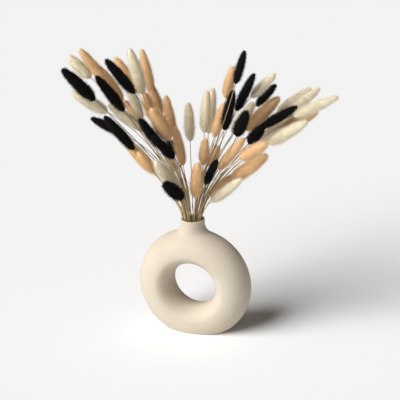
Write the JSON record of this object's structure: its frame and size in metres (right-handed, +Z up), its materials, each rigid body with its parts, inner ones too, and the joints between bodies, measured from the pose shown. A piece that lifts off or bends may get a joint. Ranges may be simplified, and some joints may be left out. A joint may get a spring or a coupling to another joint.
{
  "type": "donut vase with dried grass",
  "caption": "Donut-shaped stoneware vase: a thick round ring with a hole, a flat base and a short neck that holds two sprays of dried bunny-tail grass.",
  "frame": {"origin": "middle of the vase's flat base, on the surface it stands on", "axes": "+Z up along the neck, +X to the vase's right as seen from its front, +Y from the front to the back along the ring's axis"},
  "size_m": [0.3479, 0.2545, 0.4225],
  "materials": {
    "stoneware": "matte",
    "cream_grass": "matte",
    "peach_grass": "matte",
    "black_grass": "matte"
  },
  "bodies": {
    "vase": {"vase_body": "stoneware"},
    "left_bunch": {"black_tail_01": "black_grass", "black_tail_02": "black_grass", "black_tail_03": "black_grass", "black_tail_04": "black_grass", "black_tail_05": "black_grass", "black_tail_06": "black_grass", "black_tail_07": "black_grass", "black_tail_08": "black_grass", "black_tail_09": "black_grass", "cream_tail_01": "cream_grass", "cream_tail_02": "cream_grass", "cream_tail_03": "cream_grass", "cream_tail_04": "cream_grass", "cream_tail_05": "cream_grass", "cream_tail_06": "cream_grass", "cream_tail_07": "cream_grass", "cream_tail_08": "cream_grass", "peach_tail_01": "peach_grass", "peach_tail_02": "peach_grass", "peach_tail_03": "peach_grass", "peach_tail_04": "peach_grass", "peach_tail_05": "peach_grass", "peach_tail_06": "peach_grass", "peach_tail_07": "peach_grass", "peach_tail_08": "peach_grass", "peach_tail_09": "peach_grass", "peach_tail_10": "peach_grass", "peach_tail_11": "peach_grass", "peach_tail_12": "peach_grass"},
    "right_bunch": {"black_tail_10": "black_grass", "black_tail_11": "black_grass", "black_tail_12": "black_grass", "black_tail_13": "black_grass", "black_tail_14": "black_grass", "black_tail_15": "black_grass", "black_tail_16": "black_grass", "black_tail_17": "black_grass", "cream_tail_09": "cream_grass", "cream_tail_10": "cream_grass", "cream_tail_11": "cream_grass", "cream_tail_12": "cream_grass", "cream_tail_13": "cream_grass", "cream_tail_14": "cream_grass", "cream_tail_15": "cream_grass", "cream_tail_16": "cream_grass", "cream_tail_17": "cream_grass", "cream_tail_18": "cream_grass", "cream_tail_19": "cream_grass", "peach_tail_13": "peach_grass", "peach_tail_14": "peach_grass", "peach_tail_15": "peach_grass", "peach_tail_16": "peach_grass", "peach_tail_17": "peach_grass", "peach_tail_18": "peach_grass", "peach_tail_19": "peach_grass", "peach_tail_20": "peach_grass", "peach_tail_21": "peach_grass", "peach_tail_22": "peach_grass", "peach_tail_23": "peach_grass"}
  },
  "joints": [
    {"name": "left_bunch_lift", "type": "slide", "parent": "vase", "child": "left_bunch", "axis": [0, 0, 1], "range_m": [0, 0.065]},
    {"name": "right_bunch_lift", "type": "slide", "parent": "vase", "child": "right_bunch", "axis": [0, 0, 1], "range_m": [0, 0.065]}
  ]
}
